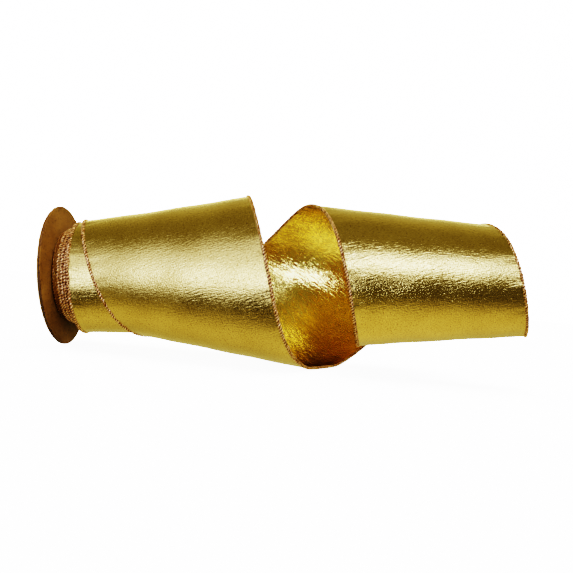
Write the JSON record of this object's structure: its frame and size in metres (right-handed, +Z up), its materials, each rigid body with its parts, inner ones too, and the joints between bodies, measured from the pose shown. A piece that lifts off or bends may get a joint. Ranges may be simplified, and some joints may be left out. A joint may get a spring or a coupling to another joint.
{
  "type": "ribbon spool",
  "caption": "Wired-edge metallic gift ribbon on a two-flange cardboard spool, its outer turns drawn off sideways into an open spiral with a square-cut end.",
  "frame": {"origin": "middle of the bounding box on the surface that the spool lies on", "axes": "+X along the spool towards the ribbon's free end, -Y to the front, +Z up; the spool's own axis leans 5.5 degrees up towards +X, because the left flange's rim and the widest part of the drawn ribbon both lie on the surface"},
  "size_m": [0.2927, 0.1038, 0.1017],
  "materials": {
    "chipboard": "matt brown chipboard with short fibres and a darker die-cut rim",
    "kraft_paper": "matt kraft paper, lightly calendered",
    "clear_tape": "thin glossy yellowish adhesive tape",
    "gold_ribbon": "gold metallic lame weave, glossy with a fine speckle",
    "selvedge_thread": "copper-coloured metallic overlock thread over a thin wire, sparkling"
  },
  "bodies": {
    "drawn_ribbon": {"drawn_ribbon": "gold_ribbon", "drawn_left_selvedge": "selvedge_thread", "drawn_right_selvedge": "selvedge_thread"},
    "spool": {"left_flange": "chipboard", "right_flange": "chipboard", "core_tube": "kraft_paper", "left_facing": "kraft_paper", "right_facing": "kraft_paper", "core_tape": "clear_tape", "wound_roll": "gold_ribbon", "roll_turn_1": "gold_ribbon", "roll_turn_2": "gold_ribbon", "roll_turn_3": "gold_ribbon", "roll_turn_4": "gold_ribbon", "roll_turn_5": "gold_ribbon"},
    "tail": {"tail_ribbon": "gold_ribbon", "tail_left_selvedge": "selvedge_thread", "tail_right_selvedge": "selvedge_thread"}
  },
  "joints": [
    {"name": "spool_spin", "type": "hinge", "parent": "drawn_ribbon", "child": "spool", "pos_m": [-0.14, 0.0016, 0.04245], "axis": [0.9954, 0, 0.0958], "continuous": true},
    {"name": "spiral_stretch", "type": "slide", "parent": "drawn_ribbon", "child": "tail", "axis": [0.9954, 0, 0.0958], "range_m": [-0.02, 0.05]}
  ]
}
